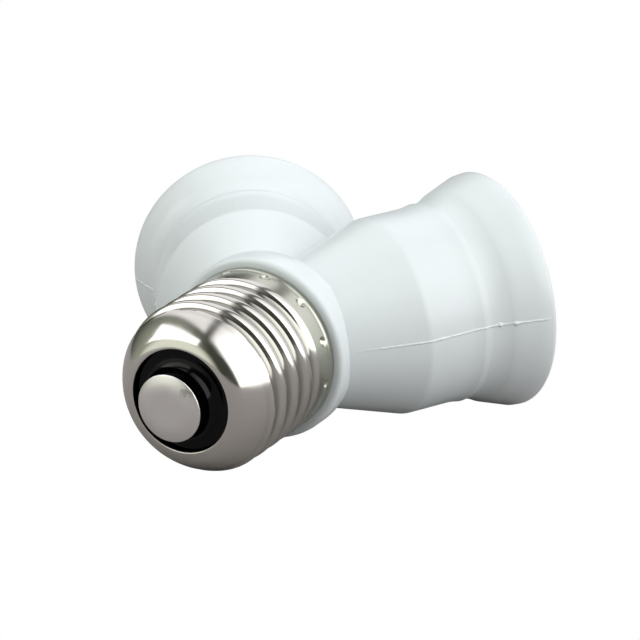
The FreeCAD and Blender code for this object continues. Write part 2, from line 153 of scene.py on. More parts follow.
MOUTH_TOP = 46.0
MOUTH_CLEARANCE = 0.003

# Outside of a branch: places along its axis, and the radii there
CONE_FOOT_RADIUS = 8.7
CONE_TOP_AT = 20.9
BARREL_RADIUS = SOCKET_BORE + 1.68
BARREL_EDGE_ROUND = 3.0
BEAD_FOOT_AT = 28.2
BEAD_TOP_AT = 30.4
BEAD_RADIUS = 15.8
BEAD_SAG = 0.05
CREASE_AT = 31.2
CREASE_RADIUS = 15.6
FLARE_BEND_AT = 35.0
FLARE_BEND_RADIUS = 16.95
FLARE_SAG = 0.22
RIM_FOOT_AT = 39.5
RIM_FOOT_RADIUS = 18.55
RIM_RADIUS = 18.75
RIM_ROUND = 0.85

# Flash along the mould seam of a branch
FLASH_START = 9.4
FLASH_END = 40.2
FLASH_STRONG_START = 16.0
FLASH_STRONG_END = 37.0
FLASH_PROFILE = ((-0.24, -0.3), (-0.1, 0.75), (0.02, 1.0), (0.13, 0.55), (0.26, -0.3))

# Limits of the meshes: the longest run without a point, how close two points count as one, and how
# close a point counts as lying on a surface
LONG_RUN = 1.2
SAME_POINT = 1e-4
NEAR = 0.05


# Placing

def rest_matrix():
    """Matrix from the adapter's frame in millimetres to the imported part's frame in metres."""
    mount = next(m for m in frame["record"]["mounts"] if m["name"] == "screw_base")
    along = -Vector(mount["axis"])
    mount_at = 24.075
    return (Matrix.Translation(mount["pos_m"]) @ Matrix.Rotation(math.atan2(along.z, along.y), 4, "X")
            @ Matrix.Scale(0.001, 4) @ Matrix.Translation((0, -mount_at, 0)))


REST = rest_matrix()
STEM = Matrix.Rotation(math.radians(-90), 4, "X")
RIGHT = (Matrix.Translation((0, FORK_HEIGHT, 0)) @ Matrix.Rotation(-FORK_HALF_ANGLE, 4, "Z") @ STEM)
LEFT = Matrix.Rotation(math.radians(180), 4, "Y") @ RIGHT
SIDES = {"right": RIGHT, "left": LEFT}


# Outlines

def arc(start, middle, end, steps):
    """Points of the arc through three points, without its first."""
    ax, ay = start
    bx, by = middle
    cx, cy = end
    d = 2 * (ax * (by - cy) + bx * (cy - ay) + cx * (ay - by))
    a, b, c = ax * ax + ay * ay, bx * bx + by * by, cx * cx + cy * cy
    ux = (a * (by - cy) + b * (cy - ay) + c * (ay - by)) / d
    uy = (a * (cx - bx) + b * (ax - cx) + c * (bx - ax)) / d
    radius = math.hypot(ax - ux, ay - uy)
    first = math.atan2(ay - uy, ax - ux)
    turn = (math.atan2(cy - uy, cx - ux) - first) % (2 * math.pi)
    if (math.atan2(by - uy, bx - ux) - first) % (2 * math.pi) > turn:
        turn -= 2 * math.pi
    angles = [first + turn * i / steps for i in range(1, steps + 1)]
    return [(ux + radius * math.cos(angle), uy + radius * math.sin(angle)) for angle in angles]


def bowed(start, end, sag, steps):
    """Points of an arc that bulges to the left of the way by sag, without its first."""
    length = math.dist(start, end)
    left = (-(end[1] - start[1]) / length, (end[0] - start[0]) / length)
    middle = ((start[0] + end[0]) / 2 + left[0] * sag, (start[1] + end[1]) / 2 + left[1] * sag)
    return arc(start, middle, end, steps)


def rounded(before, corner, after, radius, steps):
    """Points of a rounded corner, with both its ends."""
    back = (Vector(before) - Vector(corner)).normalized()
    ahead = (Vector(after) - Vector(corner)).normalized()
    half = back.angle(ahead) / 2
    point = Vector(corner)
    first = tuple(point + back * (radius / math.tan(half)))
    last = tuple(point + ahead * (radius / math.tan(half)))
    middle = tuple(point + (back + ahead).normalized() * (radius / math.sin(half) - radius))
    return [first] + arc(first, middle, last, steps)


def spaced(points, step):
    """The same outline with points no further apart than a step."""
    result = [points[0]]
    for start, end in zip(points, points[1:]):
        count = max(1, math.ceil(math.dist(start, end) / step))
        result += [(start[0] + (end[0] - start[0]) * i / count, start[1] + (end[1] - start[1]) * i / count)
                   for i in range(1, count + 1)]
    return result


def upright(radius, start, end, step):
    """Points of a straight run of one radius, without its first."""
    return spaced([(radius, start), (radius, end)], step)[1:]


# Meshes

def as_object(name, shape, matrix=Matrix()):
    """Object of a finished bmesh, moved by a matrix."""
    mesh = bpy.data.meshes.new(name)
    shape.to_mesh(mesh)
    shape.free()
    mesh.transform(matrix)
    obj = bpy.data.objects.new(name, mesh)
    bpy.context.collection.objects.link(obj)
    return obj


def settle(mesh, steps, shape):
    """Puts the points of a turned mesh square on their steps, and at the radii that a shape finds."""
    places = np.empty(len(mesh.vertices) * 3, np.float32)
    mesh.vertices.foreach_get("co", places)
    across, deep, height = places.reshape(-1, 3).astype(float).T
    step = 2 * math.pi / steps
    angle = np.round(np.arctan2(deep, across) / step) % steps * step
    radius = np.hypot(across, deep)
    if shape:
        radius = shape(angle, radius, height)
    places = np.stack([radius * np.cos(angle), radius * np.sin(angle), height], -1)
    mesh.vertices.foreach_set("co", places.astype(np.float32).ravel())


def doubled(solid, angle):
    """Adds a copy of a whole bmesh, turned about Z."""
    copy = bmesh.ops.duplicate(solid, geom=solid.verts[:] + solid.edges[:] + solid.faces[:])["geom"]
    points = [part for part in copy if isinstance(part, bmesh.types.BMVert)]
    bmesh.ops.rotate(solid, verts=points, cent=(0, 0, 0), matrix=Matrix.Rotation(angle, 3, "Z"))


def turned(name, outline, matrix, steps=192, shape=None):
    """Solid turned about Z from a closed outline of radii and heights, whose radii a shape may change.

    An eighth is spun and then doubled three times, because a long spin is slow, so the steps are a
    multiple of eight.
    """
    eighth = math.pi / 4
    solid = bmesh.new()
    ring = [solid.verts.new((radius, 0, height)) for radius, height in outline]
    sides = [solid.edges.new((start, end)) for start, end in zip(ring, ring[1:] + ring[:1])
             if start.co.x > SAME_POINT or end.co.x > SAME_POINT]
    bmesh.ops.spin(solid, geom=ring + sides, cent=(0, 0, 0), axis=(0, 0, 1), angle=eighth, steps=steps // 8)
    for angle in (eighth, 2 * eighth, 4 * eighth):
        doubled(solid, angle)
    bmesh.ops.remove_doubles(solid, verts=solid.verts, dist=SAME_POINT)
    bmesh.ops.recalc_face_normals(solid, faces=solid.faces)
    obj = as_object(name, solid)
    settle(obj.data, steps, shape)
    obj.data.transform(matrix)
    return obj


def combined(base, others, operation):
    """Applies one boolean operation with several objects and removes them."""
    for other in others:
        modifier = base.modifiers.new("combine", "BOOLEAN")
        modifier.object = other
        modifier.operation = operation
        modifier.solver = "EXACT"
        depsgraph = bpy.context.evaluated_depsgraph_get()
        mesh = bpy.data.meshes.new_from_object(base.evaluated_get(depsgraph))
        base.modifiers.clear()
        old = base.data
        base.data = mesh
        bpy.data.meshes.remove(old)
        bpy.data.objects.remove(other)
    return base


def dress(obj, material, slot, *nodes, edge=32.0):
    """Gives a piece its shading, its material and its body, and hides the nodes that it stands for."""
    obj.data.polygons.foreach_set("use_smooth", [True] * len(obj.data.polygons))
    obj.data.set_sharp_from_angle(angle=math.radians(edge))
    obj.data.materials.clear()
    obj.data.materials.append(material)
    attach(obj, "adapter")
    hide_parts(*nodes)


# Housing

def branch_side():
    """Outside of a branch from its foot to its rim."""
    foot = (CONE_FOOT_RADIUS, 0)
    bead_foot = (BARREL_RADIUS, BEAD_FOOT_AT)
    crease = (CREASE_RADIUS, CREASE_AT)
    rim_foot = (RIM_FOOT_RADIUS, RIM_FOOT_AT)
    cone = rounded(foot, (BARREL_RADIUS, CONE_TOP_AT), bead_foot, BARREL_EDGE_ROUND, 14)
    bead = bowed(bead_foot, (BEAD_RADIUS, BEAD_TOP_AT), BEAD_SAG, 6)
    flare = bowed(crease, (FLARE_BEND_RADIUS, FLARE_BEND_AT), FLARE_SAG, 10)
    rim = rounded(rim_foot, (RIM_RADIUS, BRANCH_LENGTH), (0, BRANCH_LENGTH), RIM_ROUND, 12)
    return [foot] + cone + [bead_foot] + bead + [crease] + flare + [rim_foot] + rim


def branch_outline():
    return spaced([(0, 0)] + branch_side() + [(0, BRANCH_LENGTH)], LONG_RUN)


def stem_outline():
    face = (0, COLLAR_START)
    corner = (COLLAR_RADIUS, COLLAR_START)
    slope_end = COLLAR_BACK_AT + COLLAR_SLOPE
    stub = [(0, STUB_START), (STUB_RADIUS, STUB_START), (STUB_RADIUS, COLLAR_START)]
    front = rounded(face, corner, (COLLAR_RADIUS, COLLAR_BACK_AT), COLLAR_FRONT_ROUND, 8)
    back = [(COLLAR_RADIUS, COLLAR_BACK_AT - COLLAR_SLOPE / 2), (COLLAR_BACK_RADIUS, COLLAR_BACK_AT),
            (COLLAR_SLOPE_RADIUS, slope_end), (0, slope_end)]
    return spaced(stub + front + back, LONG_RUN)


def hollow_outline():
    """Space in a branch for the contact carrier, the socket shell and the bulb.

    Its lip ends a hair above the rim, because two faces that lie in each other cut badly.
    """
    flange_radius = CARRIER_RADIUS + CARRIER_GAP
    flange_top = LEDGE_AT + 2 * CARRIER_GAP + CARRIER_FLANGE
    cup_radius = CUP_FOOT_RADIUS + CUP_GAP
    seat_at = SOCKET_END - SHEET - SEAT_GAP
    seat_radius = SOCKET_LIP_RADIUS + SHELL_GAP
    funnel_foot = (FUNNEL_FOOT_RADIUS, FUNNEL_FOOT_AT)
    funnel_top = (FUNNEL_RADIUS, BRANCH_LENGTH - RIM_ROUND / 2)
    out = (FUNNEL_RADIUS + RIM_ROUND / 2, BRANCH_LENGTH + MOUTH_CLEARANCE)
    ledge = [(0, HOLLOW_FOOT_AT), (LEDGE_RADIUS, HOLLOW_FOOT_AT), (LEDGE_RADIUS, LEDGE_AT)]
    carrier = [(flange_radius, LEDGE_AT), (flange_radius, flange_top), (cup_radius, flange_top)]
    cup = [(cup_radius, CUP_FOOT_AT), (SOCKET_CREST + SHEET + CUP_GAP, CUP_TOP_AT), (SOCKET_BORE, CUP_TOP_AT)]
    seat = [(SOCKET_BORE, seat_at), (seat_radius, seat_at), (seat_radius, FUNNEL_FOOT_AT), funnel_foot]
    funnel = bowed(funnel_foot, funnel_top, -FUNNEL_SAG, 12) + bowed(funnel_top, out, -FUNNEL_LIP_SAG, 6)
    return ledge + carrier + cup + seat + funnel + [(out[0], MOUTH_TOP), (0, MOUTH_TOP)]


def wiring_outline():
    return [(0, WIRING_START), (WIRING_RADIUS, WIRING_START), (WIRING_RADIUS, WIRING_TOP),
            (THROAT_RADIUS, WIRING_TOP), (THROAT_RADIUS, THROAT_TOP), (0, THROAT_TOP)]


def housing_whole():
    """The housing before it is split: two branches and the stem, less the spaces inside them."""
    outside = turned("outside_right", branch_outline(), RIGHT)
    others = [turned("outside_left", branch_outline(), LEFT), turned("outside_stem", stem_outline(), STEM)]
    combined(outside, others, "UNION")
    hollows = [turned("hollow_" + side, hollow_outline(), place) for side, place in SIDES.items()]
    hollows.append(turned("hollow_stem", wiring_outline(), STEM, steps=96))
    return combined(outside, hollows, "DIFFERENCE")


def half_of(whole, name, side):
    """The part of the housing above or below the fork plane."""
    half = whole.copy()
    half.data = whole.data.copy()
    half.name = name
    bpy.context.collection.objects.link(half)
    box = bmesh.new()
    bmesh.ops.create_cube(box, size=2 * FAR, matrix=Matrix.Translation((0, 0, side * FAR)))
    return combined(half, [as_object("half_space", box)], "INTERSECT")


def flash_rise(height, side):
    """Height of the flash at a place along the branch, and how much a blob swells it there."""
    coarse = noise.noise(Vector((height * 1.7, side * 9.0, 0)))
    fine = noise.noise(Vector((height * 5.1, side, 3)))
    swell = noise.noise(Vector((height * 0.9, side * 4.0, 7)))
    strong = 1.0 if FLASH_STRONG_START < height < FLASH_STRONG_END else 0.3
    blob = strong * max(0.0, swell - 0.15)
    ends = min(1.0, (height - FLASH_START) / 6.0, (FLASH_END - height) / 1.0)
    return ends * (max(0.03, 0.1 + 0.13 * (coarse + 0.6 * fine)) + 0.5 * blob), blob


def flash_line(side):
    """Thin uneven ridge that the mould leaves on the outer side of a branch, in the fork plane."""
    path = [Vector(point) for point in spaced(branch_side(), 0.15) if FLASH_START < point[1] < FLASH_END]
    ridge = bmesh.new()
    bmesh.ops.create_grid(ridge, x_segments=len(FLASH_PROFILE) - 1, y_segments=len(path) - 1, size=1.0)
    points = iter(ridge.verts)
    for number, place in enumerate(path):
        along = (path[min(number + 1, len(path) - 1)] - path[max(number - 1, 0)]).normalized()
        out = Vector((along.y, -along.x))
        rise, blob = flash_rise(place.y, side)
        shift = 0.05 * noise.noise(Vector((place.y * 1.1, 5.0, side)))
        for across, share in FLASH_PROFILE:
            top = place + out * (rise * share)
            next(points).co = (top.x, shift + across * (1 + 2.5 * blob), top.y)
    return as_object("flash", ridge, RIGHT if side > 0 else LEFT)


def joined(base, others):
    """Puts the meshes of other objects into one and removes them."""
    whole = bmesh.new()
    whole.from_mesh(base.data)
    for other in others:
        whole.from_mesh(other.data)
        bpy.data.objects.remove(other)
    whole.to_mesh(base.data)
    whole.free()


def make_housing(material):
    """Both halves of the housing. The flash is on the upper one."""
    whole = housing_whole()
    for name, side in (("upper", 1), ("lower", -1)):
        half = half_of(whole, name + "_moulding", side)
        if side > 0:
            joined(half, [flash_line(1), flash_line(-1)])
        half.data.transform(REST)
        dress(half, material, "housing", name + "_housing")
    bpy.data.objects.remove(whole)


# Threads

def wave(gap, root):
    """Radius of the rolled wave at a distance along the axis from a groove's middle."""
    gap = np.abs(gap)
    half = PITCH / 2
    low = root + THREAD_ARC - np.sqrt(np.maximum(THREAD_ARC ** 2 - gap ** 2, 0))
    high = root + DEPTH - THREAD_ARC + np.sqrt(np.maximum(THREAD_ARC ** 2 - (half - gap) ** 2, 0))
    return np.where(gap < half / 2, low, np.where(gap < half, high, root + DEPTH))


def base_groove(angle, height):
    """Radius of the base's right-hand groove; it grows shallow past its end."""
    best = np.full(height.shape, FAR)
    line = GROOVE_AT + PITCH * ((angle + math.pi) % (2 * math.pi) - math.pi) / (2 * math.pi)
    first = math.floor((GROOVE_START - GROOVE_AT) / PITCH) - 1
    last = math.ceil((GROOVE_END - GROOVE_AT) / PITCH) + 1
    for turn in range(first, last + 1):
        middle = line + turn * PITCH
        lift = np.clip((middle - GROOVE_END) / RUNOUT, 0, 1) * DEPTH
        radius = wave(height - middle, CREST - DEPTH) + lift
        beyond = (middle < GROOVE_START) | (middle > GROOVE_END + RUNOUT)
        best = np.minimum(best, np.where(beyond, FAR, radius))
    return best


def crimped(angle, radius, height):
    """Radii with the crimp pits pressed in."""
    centre = BAND_RADIUS + CRIMP_BALL - CRIMP_DEPTH
    step = 2 * math.pi / CRIMPS
    off = (angle + CRIMP_ANGLE + step / 2) % step - step / 2
    gap = np.hypot(off * BAND_RADIUS, height - CRIMP_AT)
    pit = centre - np.sqrt(np.maximum(CRIMP_BALL ** 2 - gap ** 2, 0))
    return np.where(gap < CRIMP_BALL, np.minimum(radius, pit), radius)


def nose(inset, hole, end_radius, turn_steps, nose_steps):
    """Points from the hole over the turn and the nose, on a surface that lies a distance inside them."""
    half = (NOSE_END - NOSE_START) / 2
    across = Vector((-half.y, half.x)).normalized()
    centre = (NOSE_START + NOSE_END) / 2 + across * math.sqrt(NOSE_ARC ** 2 - half.length_squared)
    turn_centre = NOSE_START + (centre - NOSE_START) * (NOSE_TURN / NOSE_ARC)
    meet = NOSE_START.x + (centre.x - NOSE_START.x) * (inset / NOSE_ARC)
    points = []
    for radius in np.linspace(hole, meet, turn_steps):
        drop = math.sqrt((NOSE_TURN - inset) ** 2 - (radius - turn_centre.x) ** 2)
        points.append((radius, turn_centre.y - drop))
    for radius in np.linspace(meet, end_radius, nose_steps)[1:]:
        points.append((radius, centre.y - math.sqrt((NOSE_ARC - inset) ** 2 - (radius - centre.x) ** 2)))
    return points


def base_shell_outline():
    """Section of the base shell before the thread and the crimps, with close points where they come."""
    outside = nose(0.0, HOLE_RADIUS + HOLE_EDGE, CREST, 16, 34)
    face = outside[0][1]
    edge = [(HOLE_RADIUS, face + HOLE_EDGE), (HOLE_RADIUS + HOLE_EDGE * 0.3, face + HOLE_EDGE * 0.3)]
    wall = upright(CREST, NOSE_END.y, BAND_START - BAND_CONE, 0.125) + [(BAND_RADIUS, BAND_START)]
    band = upright(BAND_RADIUS, BAND_START, BAND_LAND_AT, 0.25)
    band += upright(BAND_RADIUS, BAND_LAND_AT, BAND_END, 0.11)
    lip_foot = SHELL_END - SHEET
    inner_lip = LIP_RADIUS - SHEET
    lip = bowed((BAND_RADIUS, BAND_END), (LIP_RADIUS, lip_foot), LIP_SAG, 5)
    lip += [(LIP_RADIUS, SHELL_END), (inner_lip, SHELL_END), (inner_lip, lip_foot)]
    inner_band = BAND_RADIUS - SHEET
    inside = [(inner_band, BAND_END + SHEET / 3), (inner_band, BAND_LAND_AT), (INNER_GROOVE, BAND_FOOT_AT)]
    inside += nose(SHEET, HOLE_RADIUS, INNER_GROOVE, 6, 6)[::-1]
    return edge + outside + wall + band + lip + inside


def base_shell_shape(angle, radius, height):
    """Radii of the base shell with the thread and the crimps on its outside."""
    below_band = (radius > INNER_GROOVE + NEAR) & (height < BAND_START + NEAR)
    outer = below_band | (radius > BAND_RADIUS - SHEET / 2)
    grooved = np.minimum(radius, base_groove(angle, height))
    return np.where(outer, crimped(angle, grooved, height), radius)


def socket_outline():
    """Section of a socket shell before the thread: a drawn cup with a flange at its mouth."""
    floor_at = CUP_FOOT_AT + SHEET
    straight_at = CUP_TOP_AT + SHEET
    flange_at = SOCKET_END - SHEET
    foot = (CUP_INNER_FOOT_RADIUS, floor_at)
    inner = [(CUP_HOLE_RADIUS, floor_at)] + spaced([foot, (SOCKET_CREST, straight_at)], 0.8)
    inner += upright(SOCKET_CREST, straight_at, SOCKET_END, 0.16)
    flange = [(SOCKET_LIP_RADIUS, SOCKET_END), (SOCKET_LIP_RADIUS, flange_at),
              (SOCKET_OUTER_CREST, flange_at)]
    outer = upright(SOCKET_OUTER_CREST, flange_at, CUP_TOP_AT + DEPTH, 0.3)
    outer += [(SOCKET_CREST + SHEET, CUP_TOP_AT), (CUP_FOOT_RADIUS, CUP_FOOT_AT),
              (CUP_HOLE_RADIUS, CUP_FOOT_AT)]
    return inner + flange + outer


def socket_shape(angle, radius, height):
    """Radii of a socket shell with the thread on its inside, which grows deep from its start."""
    line = SOCKET_GROOVE_START + PITCH * angle / (2 * math.pi)
    gap = (height - line + PITCH / 2) % PITCH - PITCH / 2
    start = np.clip((height - SOCKET_GROOVE_START - SOCKET_GROOVE_LEAD) / SOCKET_GROOVE_GROWTH, 0, 1)
    threaded = SOCKET_CREST + (wave(gap, SOCKET_CREST) - SOCKET_CREST) * start
    inside = (np.abs(radius - SOCKET_CREST) < NEAR) & (height > CUP_TOP_AT + SHEET + NEAR)
    return np.where(inside, threaded, radius)


def make_shells(base_metal, socket_metal):
    base = turned("rolled_base_shell", base_shell_outline(), REST @ STEM, steps=432, shape=base_shell_shape)
    dress(base, base_metal, "shell_metal", "base_shell", edge=60)
    for side, place in SIDES.items():
        shell = turned(side + "_rolled_socket", socket_outline(), REST @ place, steps=240, shape=socket_shape)
        dress(shell, socket_metal, "socket_metal", side + "_screw_shell", edge=25)


# Base contact and insulator

def contact_outline():
    """Section of the contact: a flat middle, a crown that falls away, an edge and a shank."""
    crown_end = CONTACT_RADIUS - CONTACT_EDGE
    crown = [(radius, CROWN_ARC - math.sqrt(CROWN_ARC ** 2 - (radius - CROWN_FLAT) ** 2))
             for radius in np.linspace(CROWN_FLAT, crown_end, 16)]
    fall = crown[-1][1]
    edge = arc(crown[-1], (crown_end + 0.08, fall + 0.06), (CONTACT_RADIUS, CONTACT_THICKNESS - 0.07), 3)
    shank = [(SHANK_RADIUS, CONTACT_THICKNESS), (SHANK_RADIUS, SHANK_END), (0, SHANK_END)]
    return [(0, 0)] + crown + edge + [(CONTACT_RADIUS, CONTACT_THICKNESS)] + shank


def insulator_outline():
    """Section of the insulator: a neck, a face with a round foot, a flange in the nose and a plug."""
    hole = SHANK_RADIUS + SHANK_GAP
    foot_start = (NECK_RADIUS, INSULATOR_FACE_AT - NECK_FOOT_ROUND)
    foot_middle = (NECK_RADIUS + NECK_FOOT_ROUND * 0.3, INSULATOR_FACE_AT - NECK_FOOT_ROUND * 0.3)
    foot_end = (NECK_RADIUS + NECK_FOOT_ROUND, INSULATOR_FACE_AT)
    flange = INNER_GROOVE - INSULATOR_GAP
    neck = [(hole, CONTACT_THICKNESS), (NECK_RADIUS, CONTACT_THICKNESS), foot_start]
    foot = arc(foot_start, foot_middle, foot_end, 12)
    under_nose = nose(SHEET + INSULATOR_GAP, INSULATOR_FACE_RADIUS, flange, 2, 2)
    plug = [(flange, INSULATOR_RIM_AT), (INSULATOR_PLUG_RADIUS, INSULATOR_RIM_AT),
            (INSULATOR_PLUG_RADIUS, INSULATOR_END), (hole, INSULATOR_END)]
    return neck + foot + under_nose + plug


def make_base_end(contact_metal, black):
    contact = turned("contact_button", contact_outline(), REST @ STEM)
    dress(contact, contact_metal, "contact_metal", "base_contact", edge=50)
    insulator = turned("insulator_moulding", insulator_outline(), REST @ STEM)
    dress(insulator, black, "base_insulator", "base_insulator", edge=40)


# Shader nodes

def feed(tree, socket, value):
    """Links a socket to another, or sets it to a constant."""
    if isinstance(value, bpy.types.NodeSocket):
        tree.links.new(value, socket)
    else:
        socket.default_value = value


def node(tree, kind, inputs, output=0, **settings):
    """New shader node with its settings and inputs; gives one of its outputs."""
    made = tree.nodes.new("ShaderNode" + kind)
    for key, value in settings.items():
        setattr(made, key, value)
    for key, value in inputs.items():
        feed(tree, made.inputs[key], value)
    return made.outputs[output]


def maths(tree, operation, *values):
    return node(tree, "Math", dict(enumerate(values)), operation=operation)


def mixed(tree, share, first, second):
    """Colour between two colours."""
    colours = {6: first if isinstance(first, bpy.types.NodeSocket) else (*first, 1),
               7: second if isinstance(second, bpy.types.NodeSocket) else (*second, 1)}
    return node(tree, "Mix", {0: share, **colours}, 2, data_type="RGBA")


def step_up(tree, value, start, end, low=0.0, high=1.0):
    """Smooth step from a low to a high value."""
    inputs = {"Value": value, "From Min": start, "From Max": end, "To Min": low, "To Max": high}
    return node(tree, "MapRange", inputs, interpolation_type="SMOOTHSTEP")


def mottled(tree, mottle, low, high):
    """Value that follows a mottle, which keeps near its middle, between a low and a high one."""
    return step_up(tree, mottle, 0.3, 0.7, low, high)


def new_group(name, inputs, outputs):
    """Empty node group; gives it with its inputs by name and the sockets that take its outputs."""
    group = bpy.data.node_groups.new(name, "ShaderNodeTree")
    for key, kind in inputs.items():
        group.interface.new_socket(key, in_out="INPUT", socket_type=kind)
    for key, kind in outputs.items():
        group.interface.new_socket(key, in_out="OUTPUT", socket_type=kind)
    return group, group.nodes.new("NodeGroupInput").outputs, group.nodes.new("NodeGroupOutput").inputs


def use_group(tree, group, inputs=None):
    """Node that uses a group; gives its outputs."""
    made = tree.nodes.new("ShaderNodeGroup")
    made.node_tree = group
    for key, value in (inputs or {}).items():
        feed(tree, made.inputs[key], value)
    return made.outputs


def relief(tree, height):
    """Normal of a relief whose height is in millimetres."""
    return node(tree, "Bump", {"Height": height, "Distance": 0.001, "Strength": 1.0})


def place_group():
    """Place on the adapter in millimetres: along its own axes, and along those of the nearer branch."""
    outputs = {"Stem": "NodeSocketVector", "Branch": "NodeSocketVector"}
    group, _, result = new_group("place_on_adapter", {}, outputs)
    spot = node(group, "TexCoord", {}, "Object")
    inputs = {"Vector": spot, "Location": REST.to_translation(), "Rotation": REST.to_euler(),
              "Scale": REST.to_scale()}
    stem = node(group, "Mapping", inputs, vector_type="TEXTURE")
    split = node(group, "SeparateXYZ", {0: stem}).node.outputs
    folded = node(group, "CombineXYZ", {0: maths(group, "ABSOLUTE", split[0]), 1: split[1], 2: split[2]})
    inputs = {"Vector": folded, "Location": (0, FORK_HEIGHT, 0), "Rotation": (0, 0, -FORK_HALF_ANGLE)}
    feed(group, result["Stem"], stem)
    feed(group, result["Branch"], node(group, "Mapping", inputs, vector_type="TEXTURE"))
    return group


def moulded_group():
    """Relief of a moulded surface: slow waves and a fine grain, with depths in millimetres."""
    inputs = {"Place": "NodeSocketVector", "Wave": "NodeSocketFloat", "Grain": "NodeSocketFloat"}
    outputs = {"Normal": "NodeSocketVector", "Mottle": "NodeSocketFloat"}
    group, given, result = new_group("moulded_relief", inputs, outputs)
    slow = node(group, "TexNoise", {"Vector": given["Place"], "Scale": 0.11, "Detail": 2.0})
    fine = node(group, "TexNoise", {"Vector": given["Place"], "Scale": 4.0, "Detail": 3.0})
    height = maths(group, "ADD", maths(group, "MULTIPLY", slow, given["Wave"]),
                   maths(group, "MULTIPLY", fine, given["Grain"]))
    mottle = node(group, "TexNoise", {"Vector": given["Place"], "Scale": 0.35, "Detail": 4.0})
    feed(group, result["Normal"], relief(group, height))
    feed(group, result["Mottle"], mottle)
    return group


def rolled_group():
    """Fine lines round the Y axis, as rolling or turning leaves them, with their depth in millimetres."""
    inputs = {"Place": "NodeSocketVector", "Depth": "NodeSocketFloat"}
    outputs = {"Normal": "NodeSocketVector", "Streak": "NodeSocketFloat", "Mottle": "NodeSocketFloat",
               "Radius": "NodeSocketFloat", "Height": "NodeSocketFloat"}
    group, given, result = new_group("rolled_lines", inputs, outputs)
    lines_per_mm = 6.0
    split = node(group, "SeparateXYZ", {0: given["Place"]}).node.outputs
    flat = node(group, "CombineXYZ", {0: split[0], 2: split[2]})
    radius = node(group, "VectorMath", {0: flat}, "Value", operation="LENGTH")
    round_it = node(group, "VectorMath", {0: flat}, operation="NORMALIZE")
    lines = maths(group, "MULTIPLY", maths(group, "ADD", split[1], radius), lines_per_mm)
    along = node(group, "CombineXYZ", {1: lines})
    spot = node(group, "VectorMath", {0: round_it, 1: along}, operation="ADD")
    streak = node(group, "TexNoise", {"Vector": spot, "Scale": 1.0, "Detail": 3.0, "Roughness": 0.6})
    mottle = node(group, "TexNoise", {"Vector": given["Place"], "Scale": 0.3, "Detail": 4.0})
    feed(group, result["Normal"], relief(group, maths(group, "MULTIPLY", streak, given["Depth"])))
    feed(group, result["Streak"], streak)
    feed(group, result["Radius"], radius)
    feed(group, result["Height"], split[1])
    feed(group, result["Mottle"], mottle)
    return group


# Materials

def new_material(name):
    material = bpy.data.materials.new(name)
    material.use_nodes = True
    tree = material.node_tree
    return material, tree, tree.nodes["Principled BSDF"].inputs


def plastic(name, groups, colour, roughness, gloss=0.5, shade=0.94):
    """Moulded plastic or insulation."""
    material, tree, shader = new_material(name)
    place = use_group(tree, groups["place"])["Stem"]
    surface = use_group(tree, groups["moulded"], {"Place": place, "Wave": 0.02, "Grain": 0.002})
    darker = tuple(part * shade for part in colour)
    feed(tree, shader["Base Color"], mixed(tree, surface["Mottle"], darker, colour))
    feed(tree, shader["Roughness"], mottled(tree, surface["Mottle"], roughness * 0.9, roughness * 1.1))
    feed(tree, shader["Normal"], surface["Normal"])
    shader["Specular IOR Level"].default_value = gloss
    return material


def metal(name, groups, colour, roughness, depth=0.002, along="Stem"):
    """Rolled or turned metal with fine lines round an axis."""
    material, tree, shader = new_material(name)
    place = use_group(tree, groups["place"])[along]
    surface = use_group(tree, groups["rolled"], {"Place": place, "Depth": depth})
    darker = tuple(part * 0.93 for part in colour)
    feed(tree, shader["Base Color"], mixed(tree, surface["Streak"], darker, colour))
    rough = maths(tree, "MULTIPLY", mottled(tree, surface["Mottle"], 0.8, 1.3), roughness)
    feed(tree, shader["Roughness"], rough)
    feed(tree, shader["Normal"], surface["Normal"])
    shader["Metallic"].default_value = 1.0
    return material


def threaded_metal(groups):
    """Nickel of the base shell, with painted shade in the thread's roots, and darker and rougher on the
    crimped band.
    """
    nickel_low, nickel_high = (0.56, 0.55, 0.51), (0.60, 0.59, 0.545)
    # Colour and share of the painted shade that darkens the thread's roots
    root_shade_colour, root_shade_share = (0.14, 0.14, 0.11), 0.62
    band_colour, band_dullness = (0.47, 0.48, 0.41), 0.08
    material, tree, shader = new_material("rolled_nickel")
    place = use_group(tree, groups["place"])["Stem"]
    surface = use_group(tree, groups["rolled"], {"Place": place, "Depth": 0.002})
    # Painted shade: the colour is darkened deep in the thread's roots, behind the nose, where the grooves lie
    # in shade
    deep = step_up(tree, surface["Radius"], CREST - 0.95, CREST - 0.4, 1.0, 0.0)
    behind_nose = step_up(tree, surface["Height"], 7.6, 8.8)
    root = maths(tree, "MULTIPLY", deep, behind_nose)
    band = step_up(tree, surface["Height"], BAND_START - 0.1, BAND_START + 0.5)
    colour = mixed(tree, surface["Streak"], nickel_low, nickel_high)
    colour = mixed(tree, maths(tree, "MULTIPLY", root, root_shade_share), colour, root_shade_colour)
    colour = mixed(tree, band, colour, band_colour)
    rough = mottled(tree, surface["Mottle"], 0.12, 0.19)
    rough = maths(tree, "ADD", rough, maths(tree, "MULTIPLY", band, band_dullness))
    feed(tree, shader["Base Color"], colour)
    feed(tree, shader["Roughness"], rough)
    feed(tree, shader["Normal"], surface["Normal"])
    shader["Metallic"].default_value = 1.0
    return material


